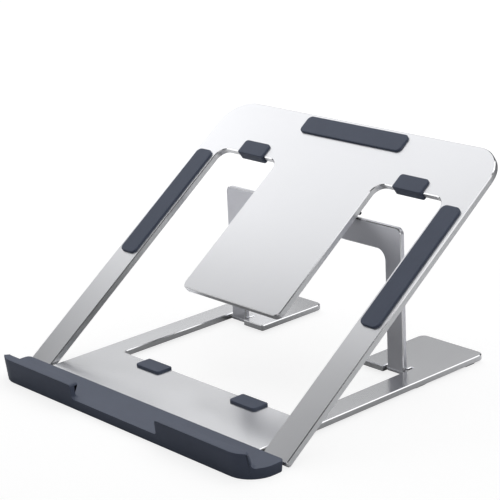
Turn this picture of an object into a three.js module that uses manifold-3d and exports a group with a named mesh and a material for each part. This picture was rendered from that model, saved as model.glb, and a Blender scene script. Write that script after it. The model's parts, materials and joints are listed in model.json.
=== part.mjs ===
// Folding laptop stand: a base plate, a tray that leans on a support arch, and a front stop bar.
// Millimetres, +Z up, X to the right and Y to the rear. Every flat plate nests in the one below
// it when the stand is shut, so each opening is its guest's size and a named gap.

import * as THREE from "three";
import { mergeVertices } from "three/addons/utils/BufferGeometryUtils.js";
import Module from "manifold-3d";

const wasm = await Module();
wasm.setup();

// Clearances and edges
const FIT = 0.3; // between a piece and the seat it stands in
const EDGE_CHAMFER = 0.5;
const PAD_CHAMFER = 0.3;
const OVERCUT = 1; // how far a cutter reaches past the face it cuts
const POCKET_DEPTH = 0.5;

// Base plate
const BASE_THICKNESS = 4;
const BASE_ARM_WIDTH = 17.6;
const FRONT_PLATE_REAR = 45.3;
const FLANGE_FRONT = -24; // the thinner part of the plate that the stop bar is pushed over
const FLANGE_THICKNESS = 2.4;
const FLANGE_CORNER = 2;
const INNER_CORNER = 3;
const FOOT_WIDTH = 53.7;
const FOOT_LENGTH = 57;
const FOOT_CORNER = 5;
const FOOT_FRONT_CORNER = 1.5;

// Tray
const TRAY_WIDTH = 250;
const TRAY_LENGTH = 235; // from the pivot to the rear edge
const TRAY_ARM_WIDTH = 20.9;
const TRAY_THICKNESS = 4.5;
const TRAY_CORNER = 22;
const TRAY_ARM_GAP = 2.9; // between the base and each tray arm
const TRAY_TILT = THREE.MathUtils.degToRad(35.5);
const PIVOT_Y = 1.85;
const PIVOT_DEPTH = BASE_THICKNESS / 2; // below the top faces, which lie level when shut
const ARM_NOSE = 2.2; // how far an arm reaches in front of its pivot
const ARM_NOSE_CORNER = 1.5;
const FOOT_GAP_SIDE = 1.7; // between a foot and the tongue beside it, when shut
const FOOT_GAP_REAR = 1.65; // between a foot and the window's rear edge, when shut
const WINDOW_CORNER = 8;
const TONGUE_END = 82.9; // from the pivot to the tongue's free end
const TONGUE_CORNER = 4.5;

// Support arch
const ARCH_THICKNESS = 3.5;
const ARCH_LEG_WIDTH = 14;
const LEG_GAP_OUTER = 2.1; // between each leg and the base arm beside it
const ARCH_LENGTH = 94; // from its hinge to its top edge
const ARCH_BAR_HEIGHT = 16.2;
const ARCH_LEAN = THREE.MathUtils.degToRad(1.3); // rearwards, against its stops
const ARCH_CORNER = 4;
const ARCH_INNER_CORNER = 7;
const ARCH_HINGE_Y = 140.8;
const HINGE_SET_BACK = 4.6; // behind the feet's front edges
const KNUCKLE_RADIUS = 2;
const LEG_SLIT_INNER = 1.2; // beside each leg, towards the middle
const SLIT_DEPTH = 3; // how far the slits reach behind the leg stop
const LEG_STOP_GAP = 0.3;

// Pins, washers and spacers
const PIN_RADIUS = 0.9;
const BORE_RADIUS = PIN_RADIUS + FIT;
const TRAY_PIN_IN_BASE = 9;
const TRAY_PIN_IN_ARM = 11.5;
const HINGE_PIN_IN_FOOT = 6;
const HINGE_PIN_IN_ARM = 4.5;
const WASHER_RADIUS = 1.8;
const PIN_SIDES = 16;

// Pads
const PAD_PROUD = 1.5;
const TOP_PAD = { width: 92, depth: 13.8, corner: 3.5, fromRear: 2.6 };
const ARM_PAD = { width: 15, depth: 93.2, corner: 4, fromSide: 3.2, fromRear: 47 };
const TRAY_CLIP = { width: 24.2, reach: 9.9, fromTongue: 14.8 };
const BASE_CLIP = { width: 23.2, reach: 10.6, fromMiddle: 34.4 };
const CLIP_RETURN = 5; // how far a clip reaches under its plate
const CLIP_WALL = 1.2;
const CLIP_RETURN_THICKNESS = 0.8;
const CLIP_CORNER = 2.5;
const FOOT_PAD_PROUD = 1.6;
const FOOT_PADS = {
  front: { width: 20, depth: 12, corner: 3, fromSide: 11.2, y: 14 },
  middle: { width: 9.8, depth: 13, corner: 3, fromSide: 2.4, y: 136.6 },
  rear: { width: 13, depth: 12, corner: 3, fromSide: 2.2, y: 182 },
};

// Rest strip under the tongue, where the arch's top edge bears
const STRIP_LENGTH = 86;
const STRIP_FRONT_REACH = 6.8; // in front of the arch's front top edge
const STRIP_RIB_GAP = 0.8; // between the arch's rear top edge and the strip's rib
const STRIP_RIB_WIDTH = 2.2;
const STRIP_RIB_HEIGHT = 2;

// Front stop bar, which stands on the table too
const BAR_FRONT = -27.9; // at the level of its floor
const BAR_REAR = -1.6;
const BAR_FLOOR = 1.3; // above the base plate's top face
const BAR_FRONT_CORNER = 18;
const BAR_REAR_CORNER = 3.5;
const BAR_CHAMFER = 0.6;
const BAR_DRAFT = 0.08; // how much its outside leans out, per unit of height
const WALL_HEIGHT = 9.3; // above the bar's floor
const WALL_THICKNESS = 3.3;
const LIP_REACH = 5.6; // of the overhanging lip, from the bar's front
const LIP_THICKNESS = 1.9;
const WALL_FILLET = 2.8; // where the wall's inside meets the floor
const WALL_GAP_WIDTH = 83.4; // of the finger gap in the middle
const WALL_END_TURN = THREE.MathUtils.degToRad(41); // how far the wall runs round each front corner
const WALL_OUTER_END = { slant: 1, fillet: 3, round: 1.8 };
const WALL_GAP_END = { slant: 0, fillet: 2, round: 1.8 };
const SCREW_X = [30, 84];
const SCREW_Y = -13;
const SCREW = { headRadius: 2.2, headEdge: 0.2, shankRadius: 1, length: 3.5 };
const SCREW_SUNK = 0.4; // above the bar's underside

// Places worked out from the sizes above
const TRAY_HALF = TRAY_WIDTH / 2;
const TRAY_ARM_INNER = TRAY_HALF - TRAY_ARM_WIDTH;
const BAR_WIDTH = TRAY_WIDTH;
const BASE_HALF = TRAY_ARM_INNER - TRAY_ARM_GAP;
const BASE_ARM_INNER = BASE_HALF - BASE_ARM_WIDTH;
const FOOT_INNER = BASE_HALF - FOOT_WIDTH;
const FOOT_FRONT = ARCH_HINGE_Y - HINGE_SET_BACK;
const BASE_REAR = FOOT_FRONT + FOOT_LENGTH;
const TONGUE_HALF = FOOT_INNER - FOOT_GAP_SIDE;
const WINDOW_REAR = BASE_REAR + FOOT_GAP_REAR - PIVOT_Y;
const TRAY_TOP = PIVOT_DEPTH;
const TRAY_UNDERSIDE = PIVOT_DEPTH - TRAY_THICKNESS;
const TABLE = -BASE_THICKNESS - FOOT_PAD_PROUD;
const ARCH_HALF = BASE_ARM_INNER - LEG_GAP_OUTER;
const LEG_INNER = ARCH_HALF - ARCH_LEG_WIDTH;
const NOTCH_INNER = LEG_INNER - LEG_SLIT_INNER;
const HINGE_Z = -BASE_THICKNESS / 2;
const LEG_STOP_Y = ARCH_HINGE_Y + KNUCKLE_RADIUS + LEG_STOP_GAP;
const FLANGE_TOP = (FLANGE_THICKNESS - BASE_THICKNESS) / 2;

const MATERIALS = {
  aluminium: { color: 0xd4d5d9, roughness: 0.38, metalness: 0.9 },
  aluminiumDark: { color: 0xa6a7ae, roughness: 0.42, metalness: 0.85 },
  silicone: { color: 0x4b4f5a, roughness: 0.75, metalness: 0 },
  steel: { color: 0xb9bbc0, roughness: 0.28, metalness: 1 },
  washer: { color: 0x8d8f94, roughness: 0.35, metalness: 1 },
  polymer: { color: 0x2a2c31, roughness: 0.6, metalness: 0 },
};

// ---------------------------------------------------------------- shaping helpers

// A closed outline through [x, y, radius] corners, each rounded by its own radius.
function outline(corners) {
  const shape = new THREE.Shape();
  const count = corners.length;
  corners.forEach(([x, y, radius = 0], i) => {
    const here = new THREE.Vector2(x, y);
    const before = corners[(i + count - 1) % count];
    const after = corners[(i + 1) % count];
    const back = new THREE.Vector2(before[0], before[1]).sub(here).normalize();
    const ahead = new THREE.Vector2(after[0], after[1]).sub(here).normalize();
    if (!radius) {
      i ? shape.lineTo(x, y) : shape.moveTo(x, y);
      return;
    }
    const half = back.angleTo(ahead) / 2;
    const reach = radius / Math.tan(half);
    const start = here.clone().addScaledVector(back, reach);
    const end = here.clone().addScaledVector(ahead, reach);
    const bisector = back.clone().add(ahead).normalize();
    const centre = here.clone().addScaledVector(bisector, radius / Math.sin(half));
    i ? shape.lineTo(start.x, start.y) : shape.moveTo(start.x, start.y);
    const from = start.clone().sub(centre).angle();
    const to = end.clone().sub(centre).angle();
    shape.absarc(centre.x, centre.y, radius, from, to, ahead.cross(back) < 0);
  });
  shape.closePath();
  return shape;
}

function rectangle(x, y, width, depth, corner) {
  const right = x + width / 2;
  const rear = y + depth / 2;
  return outline([
    [right, y - depth / 2, corner],
    [right, rear, corner],
    [x - width / 2, rear, corner],
    [x - width / 2, y - depth / 2, corner],
  ]);
}

// A flat piece cut to a shape, from z = bottom up, with both its edges chamfered.
function plate(shape, bottom, thickness, chamfer) {
  const geometry = new THREE.ExtrudeGeometry(shape, {
    depth: thickness - 2 * chamfer,
    bevelEnabled: chamfer > 0,
    bevelThickness: chamfer,
    bevelSize: chamfer,
    bevelOffset: -chamfer,
    bevelSegments: 1,
    curveSegments: 4,
  });
  return geometry.translate(0, 0, bottom + chamfer);
}

function box(x0, x1, y0, y1, z0, z1) {
  const geometry = new THREE.BoxGeometry(Math.abs(x1 - x0), y1 - y0, z1 - z0);
  return geometry.translate((x0 + x1) / 2, (y0 + y1) / 2, (z0 + z1) / 2);
}

// A round bar along X.
function crossBar(x0, x1, y, z, radius) {
  const geometry = new THREE.CylinderGeometry(radius, radius, Math.abs(x1 - x0), PIN_SIDES);
  return geometry.rotateZ(Math.PI / 2).translate((x0 + x1) / 2, y, z);
}

// Turns a section drawn in (depth, height) into a bar along X that starts at x0.
function alongX(shape, x0, length) {
  const geometry = new THREE.ExtrudeGeometry(shape, {
    depth: length,
    bevelEnabled: false,
    curveSegments: 3,
  });
  const turn = new THREE.Matrix4().makeBasis(
    new THREE.Vector3(0, 1, 0),
    new THREE.Vector3(0, 0, 1),
    new THREE.Vector3(1, 0, 0),
  );
  return geometry.applyMatrix4(turn).translate(x0, 0, 0);
}

function solid(geometry) {
  const bare = geometry.clone();
  bare.deleteAttribute("normal");
  bare.deleteAttribute("uv");
  const merged = mergeVertices(bare, 1e-4);
  return new wasm.Manifold(
    new wasm.Mesh({
      numProp: 3,
      vertProperties: merged.attributes.position.array,
      triVerts: new Uint32Array(merged.index.array),
    }),
  );
}

function geometryOf(manifold) {
  const mesh = manifold.getMesh();
  const geometry = new THREE.BufferGeometry();
  geometry.setAttribute("position", new THREE.BufferAttribute(mesh.vertProperties, 3));
  geometry.setIndex(new THREE.BufferAttribute(mesh.triVerts, 1));
  const flat = geometry.toNonIndexed();
  flat.computeVertexNormals();
  return flat;
}

const cut = (body, cutters) => cutters.reduce((left, c) => left.subtract(solid(c)), body);
const join = (bodies) => bodies.reduce((left, right) => left.add(right));

function piece(name, geometry, material) {
  const mesh = new THREE.Mesh(geometry, new THREE.MeshStandardMaterial(MATERIALS[material]));
  mesh.name = name;
  return mesh;
}

// Calls make(side, label) for the left piece, side -1, and the right one, side 1.
const bothSides = (make) => [make(-1, "left"), make(1, "right")];

// The pocket that a pad of this shape stands in, cut into a face that looks up or down.
function padPocket(pad, x, y, face, up) {
  const shape = rectangle(x, y, pad.width + 2 * FIT, pad.depth + 2 * FIT, pad.corner + FIT);
  const bottom = up ? face - POCKET_DEPTH : face - OVERCUT;
  return plate(shape, bottom, POCKET_DEPTH + OVERCUT, 0);
}

function pad(shape, x, y, face, proud, up) {
  const sunk = POCKET_DEPTH - FIT;
  const bottom = up ? face - sunk : face - proud;
  return plate(rectangle(x, y, shape.width, shape.depth, shape.corner), bottom, proud + sunk, PAD_CHAMFER);
}

// A soft clip pushed over a plate's edge at y = 0, from the side the edge faces, which is -Y: a face
// above, a wall down the edge and a short return below. The plate runs from bottom to top.
function edgeClip(clip, bottom, top) {
  const [seatTop, seatBottom] = [top + FIT, bottom - FIT];
  const low = seatBottom - CLIP_RETURN_THICKNESS;
  const front = -FIT - CLIP_WALL;
  const shape = rectangle(0, (front + clip.reach) / 2, clip.width, clip.reach - front, CLIP_CORNER);
  const wide = clip.width / 2 + OVERCUT;
  const rear = clip.reach + OVERCUT;
  return geometryOf(
    cut(solid(plate(shape, low, top + PAD_PROUD - low, PAD_CHAMFER)), [
      box(-wide, wide, -FIT, rear, seatBottom, seatTop),
      box(-wide, wide, CLIP_RETURN, rear, low - OVERCUT, seatTop),
    ]),
  );
}

// ---------------------------------------------------------------- base

const footPadX = (foot) => BASE_HALF - foot.fromSide - foot.width / 2;

function basePlate() {
  const right = [
    [BASE_HALF, FLANGE_FRONT, FLANGE_CORNER],
    [BASE_HALF, BASE_REAR, FOOT_CORNER],
    [FOOT_INNER, BASE_REAR, FOOT_CORNER],
    [FOOT_INNER, FOOT_FRONT, FOOT_FRONT_CORNER],
    [BASE_ARM_INNER, FOOT_FRONT],
    [BASE_ARM_INNER, FRONT_PLATE_REAR, INNER_CORNER],
  ];
  const left = right.map(([x, y, radius]) => [-x, y, radius]).reverse();
  const blank = plate(outline([...right, ...left]), -BASE_THICKNESS, BASE_THICKNESS, EDGE_CHAMFER);
  return cut(solid(blank), [
    ...bothSides(legNotch).flat(),
    ...bothSides((side) =>
      crossBar(
        side * (BASE_HALF + OVERCUT),
        side * (BASE_HALF - TRAY_PIN_IN_BASE - FIT),
        PIVOT_Y,
        HINGE_Z,
        BORE_RADIUS,
      ),
    ),
    ...bothSides((side) =>
      crossBar(
        side * (NOTCH_INNER - HINGE_PIN_IN_FOOT - FIT),
        side * (BASE_ARM_INNER + HINGE_PIN_IN_ARM + FIT),
        ARCH_HINGE_Y,
        HINGE_Z,
        BORE_RADIUS,
      ),
    ),
    ...Object.values(FOOT_PADS).flatMap((foot) =>
      bothSides((side) => padPocket(foot, side * footPadX(foot), foot.y, -BASE_THICKNESS, false)),
    ),
    ...flangeSteps(),
    ...screwPlaces().map((x) => screwBore(x)),
  ]);
}

// What is milled off the plate above and below its front flange.
function flangeSteps() {
  const wide = BASE_HALF + OVERCUT;
  const front = FLANGE_FRONT - OVERCUT;
  const rear = BAR_REAR + FIT;
  return [
    box(-wide, wide, front, rear, FLANGE_TOP, OVERCUT),
    box(-wide, wide, front, rear, -BASE_THICKNESS - OVERCUT, FLANGE_TOP - FLANGE_THICKNESS),
  ];
}

// The leg's notch in a foot, with a slit on each side of the stop that the leg leans against.
function legNotch(side) {
  const low = -BASE_THICKNESS - OVERCUT;
  const front = FOOT_FRONT - OVERCUT;
  const slitRear = LEG_STOP_Y + SLIT_DEPTH;
  const [inner, outer] = [side * NOTCH_INNER, side * BASE_ARM_INNER];
  return [
    box(inner, outer, front, LEG_STOP_Y, low, OVERCUT),
    box(inner, side * LEG_INNER, front, slitRear, low, OVERCUT),
    box(side * ARCH_HALF, outer, front, slitRear, low, OVERCUT),
  ];
}

const screwPlaces = () => SCREW_X.flatMap((x) => [-x, x]);

// A hole right through the flange.
function screwBore(x) {
  const radius = SCREW.shankRadius + FIT;
  const bore = new THREE.CylinderGeometry(radius, radius, 2 * BASE_THICKNESS, PIN_SIDES);
  return bore.rotateX(Math.PI / 2).translate(x, SCREW_Y, FLANGE_TOP - FLANGE_THICKNESS / 2);
}

// ---------------------------------------------------------------- tray, drawn flat about its pivot

const TOP_PAD_CENTRE = TRAY_LENGTH - TOP_PAD.fromRear - TOP_PAD.depth / 2;
const ARM_PAD_CENTRE = TRAY_LENGTH - ARM_PAD.fromRear - ARM_PAD.depth / 2;
const ARM_PAD_CENTRE_X = TRAY_HALF - ARM_PAD.fromSide - ARM_PAD.width / 2;

function trayPlate() {
  const right = [
    [TRAY_ARM_INNER, -ARM_NOSE, ARM_NOSE_CORNER],
    [TRAY_HALF, -ARM_NOSE, ARM_NOSE_CORNER],
    [TRAY_HALF, TRAY_LENGTH, TRAY_CORNER],
  ];
  const mirror = (corners) => corners.map(([x, y, radius]) => [-x, y, radius]).reverse();
  const window = [
    [TONGUE_HALF, TONGUE_END, TONGUE_CORNER],
    [TONGUE_HALF, WINDOW_REAR, WINDOW_CORNER],
    [TRAY_ARM_INNER, WINDOW_REAR, WINDOW_CORNER],
  ];
  const corners = [...right, ...mirror(right), ...mirror(window), ...window];
  const blank = plate(outline(corners), TRAY_UNDERSIDE, TRAY_THICKNESS, EDGE_CHAMFER);
  return cut(solid(blank), [
    padPocket(TOP_PAD, 0, TOP_PAD_CENTRE, TRAY_TOP, true),
    ...bothSides((side) =>
      padPocket(ARM_PAD, side * ARM_PAD_CENTRE_X, ARM_PAD_CENTRE, TRAY_TOP, true),
    ),
    ...bothSides((side) =>
      crossBar(
        side * (TRAY_ARM_INNER - OVERCUT),
        side * (TRAY_ARM_INNER + TRAY_PIN_IN_ARM + FIT),
        0,
        0,
        BORE_RADIUS,
      ),
    ),
    plate(
      rectangle(0, STRIP_CENTRE, STRIP_LENGTH + 2 * FIT, STRIP_DEPTH + 2 * FIT, 1),
      TRAY_UNDERSIDE - OVERCUT,
      OVERCUT + POCKET_DEPTH,
      0,
    ),
  ]);
}

// ---------------------------------------------------------------- support arch, drawn flat about its hinge

function supportArch() {
  const right = [
    [LEG_INNER, 0],
    [ARCH_HALF, 0],
    [ARCH_HALF, ARCH_LENGTH, ARCH_CORNER],
  ];
  const left = right.map(([x, y, radius]) => [-x, y, radius]).reverse();
  const opening = ARCH_LENGTH - ARCH_BAR_HEIGHT;
  const shape = outline([
    ...right,
    ...left,
    [-LEG_INNER, opening, ARCH_INNER_CORNER],
    [LEG_INNER, opening, ARCH_INNER_CORNER],
  ]);
  const body = solid(plate(shape, -ARCH_THICKNESS / 2, ARCH_THICKNESS, EDGE_CHAMFER));
  const knuckles = bothSides((side) =>
    solid(crossBar(side * LEG_INNER, side * ARCH_HALF, 0, 0, KNUCKLE_RADIUS)),
  );
  const bores = bothSides((side) =>
    crossBar(side * (LEG_INNER - OVERCUT), side * (ARCH_HALF + OVERCUT), 0, 0, BORE_RADIUS),
  );
  return cut(join([body, ...knuckles]), bores);
}

// The arch's top edge at rest, front (-1) or rear (1), in the tray's own frame.
function archTopInTray(face) {
  const lean = new THREE.Vector2(Math.sin(ARCH_LEAN), Math.cos(ARCH_LEAN));
  const across = new THREE.Vector2(lean.y, -lean.x);
  return new THREE.Vector2(ARCH_HINGE_Y - PIVOT_Y, 0)
    .addScaledVector(lean, ARCH_LENGTH)
    .addScaledVector(across, (face * ARCH_THICKNESS) / 2)
    .rotateAround(new THREE.Vector2(), -TRAY_TILT);
}

const ARCH_TOP_FRONT = archTopInTray(-1);
const ARCH_TOP_REAR = archTopInTray(1);
const STRIP_FRONT = ARCH_TOP_FRONT.x - STRIP_FRONT_REACH;
const STRIP_RIB_FRONT = ARCH_TOP_REAR.x + STRIP_RIB_GAP;
const STRIP_REAR = STRIP_RIB_FRONT + STRIP_RIB_WIDTH;
const STRIP_DEPTH = STRIP_REAR - STRIP_FRONT;
const STRIP_CENTRE = (STRIP_FRONT + STRIP_REAR) / 2;

// A ribbed rubber strip in the tongue's underside, a fit above the arch's front top edge.
function restStrip() {
  const top = TRAY_UNDERSIDE + POCKET_DEPTH - FIT;
  const bearing = ARCH_TOP_FRONT.y + FIT;
  const rib = bearing - STRIP_RIB_HEIGHT;
  const section = outline([
    [STRIP_FRONT, bearing, 0.5],
    [STRIP_RIB_FRONT, bearing, 0.5],
    [STRIP_RIB_FRONT, rib, 0.5],
    [STRIP_REAR, rib, 0.5],
    [STRIP_REAR, top],
    [STRIP_FRONT, top],
  ]);
  return alongX(section, -STRIP_LENGTH / 2, STRIP_LENGTH);
}

// ---------------------------------------------------------------- front stop bar

const WALL_TOP = BAR_FLOOR + WALL_HEIGHT;
const WALL_FOOT = BAR_FLOOR - OVERCUT; // the wall starts inside the floor
const SCREW_BOTTOM = TABLE + SCREW_SUNK;

// A block whose sides lean out upwards until they reach the shape at its top.
function drafted(shape, bottom, height) {
  const lean = height * BAR_DRAFT;
  const geometry = new THREE.ExtrudeGeometry(shape, {
    depth: OVERCUT,
    bevelEnabled: true,
    bevelThickness: height,
    bevelSize: lean,
    bevelOffset: -lean,
    bevelSegments: 1,
    curveSegments: 4,
  });
  return geometry.translate(0, 0, bottom + height);
}

// The wall's section: depth behind the bar's front, and height, with an overhanging lip.
function wallSection() {
  const lipUnder = WALL_TOP - LIP_THICKNESS;
  const outside = (z) => -(z - BAR_FLOOR) * BAR_DRAFT;
  const filletEnd = WALL_THICKNESS + WALL_FILLET;
  const section = new THREE.Shape();
  section.moveTo(outside(WALL_FOOT), WALL_FOOT);
  section.lineTo(filletEnd, WALL_FOOT);
  section.lineTo(filletEnd, BAR_FLOOR);
  section.quadraticCurveTo(WALL_THICKNESS, BAR_FLOOR, WALL_THICKNESS, BAR_FLOOR + WALL_FILLET);
  section.quadraticCurveTo(WALL_THICKNESS, lipUnder, LIP_REACH - LIP_THICKNESS / 2, lipUnder);
  section.absarc(
    LIP_REACH - LIP_THICKNESS / 2,
    WALL_TOP - LIP_THICKNESS / 2,
    LIP_THICKNESS / 2,
    -Math.PI / 2,
    Math.PI / 2,
    false,
  );
  section.lineTo(outside(WALL_TOP) + BAR_CHAMFER, WALL_TOP);
  section.lineTo(outside(WALL_TOP - BAR_CHAMFER), WALL_TOP - BAR_CHAMFER);
  section.closePath();
  return section;
}

// What is cut away beyond one end of the wall: (along the bar, height), with a fillet at the floor.
function wallEndCutter({ slant, fillet, round }, length, depth) {
  const rise = WALL_HEIGHT - round - fillet;
  const shape = new THREE.Shape();
  shape.moveTo(slant + fillet, BAR_FLOOR);
  shape.lineTo(length, BAR_FLOOR);
  shape.lineTo(length, WALL_TOP + OVERCUT);
  shape.lineTo(-round, WALL_TOP + OVERCUT);
  shape.lineTo(-round, WALL_TOP);
  shape.absarc(-round, WALL_TOP - round, round, Math.PI / 2, 0, true);
  shape.lineTo(slant, BAR_FLOOR + fillet);
  shape.quadraticCurveTo(slant * (1 + fillet / rise), BAR_FLOOR, slant + fillet, BAR_FLOOR);
  const geometry = new THREE.ExtrudeGeometry(shape, {
    depth,
    bevelEnabled: false,
    curveSegments: 3,
  });
  return geometry.rotateX(Math.PI / 2);
}

// The lip stays straight where the wall turns: this takes off what runs round the corner.
function lipTrimmer(cornerX, cornerY) {
  const [bottom, top] = [BAR_FLOOR + WALL_FILLET, WALL_TOP + OVERCUT];
  const radius = BAR_FRONT_CORNER - WALL_THICKNESS;
  const well = new THREE.CylinderGeometry(radius, radius, top - bottom, 72);
  well.rotateX(Math.PI / 2).translate(cornerX, cornerY, (bottom + top) / 2);
  const front = BAR_FRONT + LIP_REACH;
  return solid(well).intersect(solid(box(0, BAR_WIDTH, front, front + BAR_WIDTH, bottom, top)));
}

// The wall that runs along one half of the bar and round its front corner.
function wallHalf(side) {
  const section = wallSection();
  const cornerX = BAR_WIDTH / 2 - BAR_FRONT_CORNER;
  const cornerY = BAR_FRONT + BAR_FRONT_CORNER;
  const straight = alongX(section, 0, cornerX).translate(0, BAR_FRONT, 0);
  const profile = section
    .getPoints(3)
    .map((p) => new THREE.Vector2(BAR_FRONT_CORNER - p.x, p.y))
    .reverse();
  const ring = new THREE.LatheGeometry([...profile, profile[0]], 72).rotateX(Math.PI / 2);
  const reach = BAR_FRONT_CORNER * 2;
  const quarter = box(0, reach, -reach, 0, WALL_FOOT - OVERCUT, WALL_TOP + OVERCUT);
  const corner = solid(ring).intersect(solid(quarter)).translate([cornerX, cornerY, 0]);
  const gapEnd = wallEndCutter(WALL_GAP_END, WALL_GAP_WIDTH / 2 + OVERCUT, LIP_REACH + 4 * OVERCUT);
  gapEnd.rotateZ(Math.PI).translate(WALL_GAP_WIDTH / 2, BAR_FRONT - 2 * OVERCUT, 0);
  const cornerDepth = BAR_FRONT_CORNER + 2 * OVERCUT;
  const cornerEnd = wallEndCutter(WALL_OUTER_END, BAR_FRONT_CORNER * 1.5, cornerDepth);
  cornerEnd.rotateZ(WALL_END_TURN).translate(cornerX, cornerY, 0);
  const turned = corner.subtract(lipTrimmer(cornerX, cornerY));
  const half = cut(join([solid(straight), turned]), [gapEnd, cornerEnd]);
  return side > 0 ? half : half.mirror([1, 0, 0]);
}

function stopBar() {
  const half = BAR_WIDTH / 2;
  const floor = outline([
    [-half, BAR_FRONT, BAR_FRONT_CORNER],
    [half, BAR_FRONT, BAR_FRONT_CORNER],
    [half, BAR_REAR, BAR_REAR_CORNER],
    [-half, BAR_REAR, BAR_REAR_CORNER],
  ]);
  const height = BAR_FLOOR - TABLE;
  const chamfered = solid(plate(floor, TABLE, height, BAR_CHAMFER));
  const slab = chamfered.intersect(solid(drafted(floor, TABLE, height)));
  const pocketHalf = BASE_HALF + FIT;
  const pocket = box(
    -pocketHalf,
    pocketHalf,
    FLANGE_FRONT - FIT,
    BAR_REAR + OVERCUT,
    FLANGE_TOP - FLANGE_THICKNESS - FIT,
    FLANGE_TOP + FIT,
  );
  const countersinks = screwPlaces().map((x) => screwGeometry(x, FIT));
  return cut(join([slab, ...bothSides(wallHalf)]), [pocket, ...countersinks]);
}

// A countersunk screw that points up, or with a margin the hole it stands in.
function screwGeometry(x, margin = 0) {
  const head = SCREW.headRadius + margin;
  const shank = SCREW.shankRadius + margin;
  const low = SCREW_BOTTOM - (margin ? OVERCUT : 0);
  const coneFoot = SCREW_BOTTOM + SCREW.headEdge;
  const tip = SCREW_BOTTOM + SCREW.length;
  const profile = [
    new THREE.Vector2(0, low),
    new THREE.Vector2(head, low),
    new THREE.Vector2(head, coneFoot),
    new THREE.Vector2(shank, coneFoot + head - shank),
    new THREE.Vector2(shank, tip),
    new THREE.Vector2(0, tip),
  ];
  const geometry = new THREE.LatheGeometry(profile, PIN_SIDES);
  return geometry.rotateX(Math.PI / 2).translate(x, SCREW_Y, 0);
}

// ---------------------------------------------------------------- small turned pieces

function washer(x0, x1, y, z) {
  const ring = crossBar(x0, x1, y, z, WASHER_RADIUS);
  const middle = (x0 + x1) / 2;
  const bore = crossBar(middle - WASHER_RADIUS * 2, middle + WASHER_RADIUS * 2, y, z, BORE_RADIUS);
  return geometryOf(cut(solid(ring), [bore]));
}

// ---------------------------------------------------------------- assembly

const stand = new THREE.Group();
stand.name = "laptop_stand";

const base = new THREE.Group();
base.add(
  piece("base_plate", geometryOf(basePlate()), "aluminium"),
  piece("front_stop_bar", geometryOf(stopBar()), "silicone"),
  ...bothSides((side, label) => {
    const geometry = edgeClip(BASE_CLIP, -BASE_THICKNESS, 0).rotateZ(Math.PI);
    const x = side * (BASE_CLIP.fromMiddle + BASE_CLIP.width / 2);
    return piece(`base_clip_${label}`, geometry.translate(x, FRONT_PLATE_REAR, 0), "silicone");
  }),
  ...Object.entries(FOOT_PADS).flatMap(([place, foot]) =>
    bothSides((side, label) => {
      const x = side * footPadX(foot);
      const geometry = pad(foot, x, foot.y, -BASE_THICKNESS, FOOT_PAD_PROUD, false);
      return piece(`foot_pad_${place}_${label}`, geometry, "silicone");
    }),
  ),
  ...bothSides((side, label) => {
    const inBase = side * (BASE_HALF - TRAY_PIN_IN_BASE);
    const inArm = side * (TRAY_ARM_INNER + TRAY_PIN_IN_ARM);
    return piece(`tray_pivot_pin_${label}`, crossBar(inBase, inArm, PIVOT_Y, HINGE_Z, PIN_RADIUS), "steel");
  }),
  ...bothSides((side, label) => {
    const spacer = washer(side * (BASE_HALF + FIT), side * (TRAY_ARM_INNER - FIT), PIVOT_Y, HINGE_Z);
    return piece(`tray_pivot_spacer_${label}`, spacer, "polymer");
  }),
  ...bothSides((side, label) => {
    const inFoot = side * (NOTCH_INNER - HINGE_PIN_IN_FOOT);
    const inArm = side * (BASE_ARM_INNER + HINGE_PIN_IN_ARM);
    const pin = crossBar(inFoot, inArm, ARCH_HINGE_Y, HINGE_Z, PIN_RADIUS);
    return piece(`arch_hinge_pin_${label}`, pin, "steel");
  }),
  ...bothSides((side, label) => {
    const ring = washer(side * (NOTCH_INNER + FIT), side * (LEG_INNER - FIT), ARCH_HINGE_Y, HINGE_Z);
    return piece(`hinge_washer_inner_${label}`, ring, "washer");
  }),
  ...bothSides((side, label) => {
    const ring = washer(side * (ARCH_HALF + FIT), side * (BASE_ARM_INNER - FIT), ARCH_HINGE_Y, HINGE_Z);
    return piece(`hinge_washer_outer_${label}`, ring, "washer");
  }),
  ...screwPlaces().map((x, i) => piece(`bar_screw_${i + 1}`, screwGeometry(x), "steel")),
);

const tray = new THREE.Group();
tray.position.set(0, PIVOT_Y, -PIVOT_DEPTH);
tray.rotation.x = TRAY_TILT;
tray.add(
  piece("tray_plate", geometryOf(trayPlate()), "aluminium"),
  piece("top_pad", pad(TOP_PAD, 0, TOP_PAD_CENTRE, TRAY_TOP, PAD_PROUD, true), "silicone"),
  piece("arch_rest_strip", restStrip(), "silicone"),
  ...bothSides((side, label) => {
    const geometry = pad(ARM_PAD, side * ARM_PAD_CENTRE_X, ARM_PAD_CENTRE, TRAY_TOP, PAD_PROUD, true);
    return piece(`arm_pad_${label}`, geometry, "silicone");
  }),
  ...bothSides((side, label) => {
    const geometry = edgeClip(TRAY_CLIP, TRAY_UNDERSIDE, TRAY_TOP);
    const x = side * (TONGUE_HALF + TRAY_CLIP.fromTongue + TRAY_CLIP.width / 2);
    return piece(`tray_clip_${label}`, geometry.translate(x, WINDOW_REAR, 0), "silicone");
  }),
);

const arch = new THREE.Group();
arch.position.set(0, ARCH_HINGE_Y, HINGE_Z);
arch.rotation.x = Math.PI / 2 - ARCH_LEAN;
arch.add(piece("support_arch", geometryOf(supportArch()), "aluminiumDark"));

stand.add(base, tray, arch);

// The part's frame: the middle of its bounding box, on the table.
stand.updateMatrixWorld(true);
const bounds = new THREE.Box3().setFromObject(stand, true);
const centre = bounds.getCenter(new THREE.Vector3());
stand.position.set(-centre.x, -centre.y, -bounds.min.z);

export default stand;
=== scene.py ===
"""A folding laptop stand: anodised plates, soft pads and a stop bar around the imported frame."""

import json
import math

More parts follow.
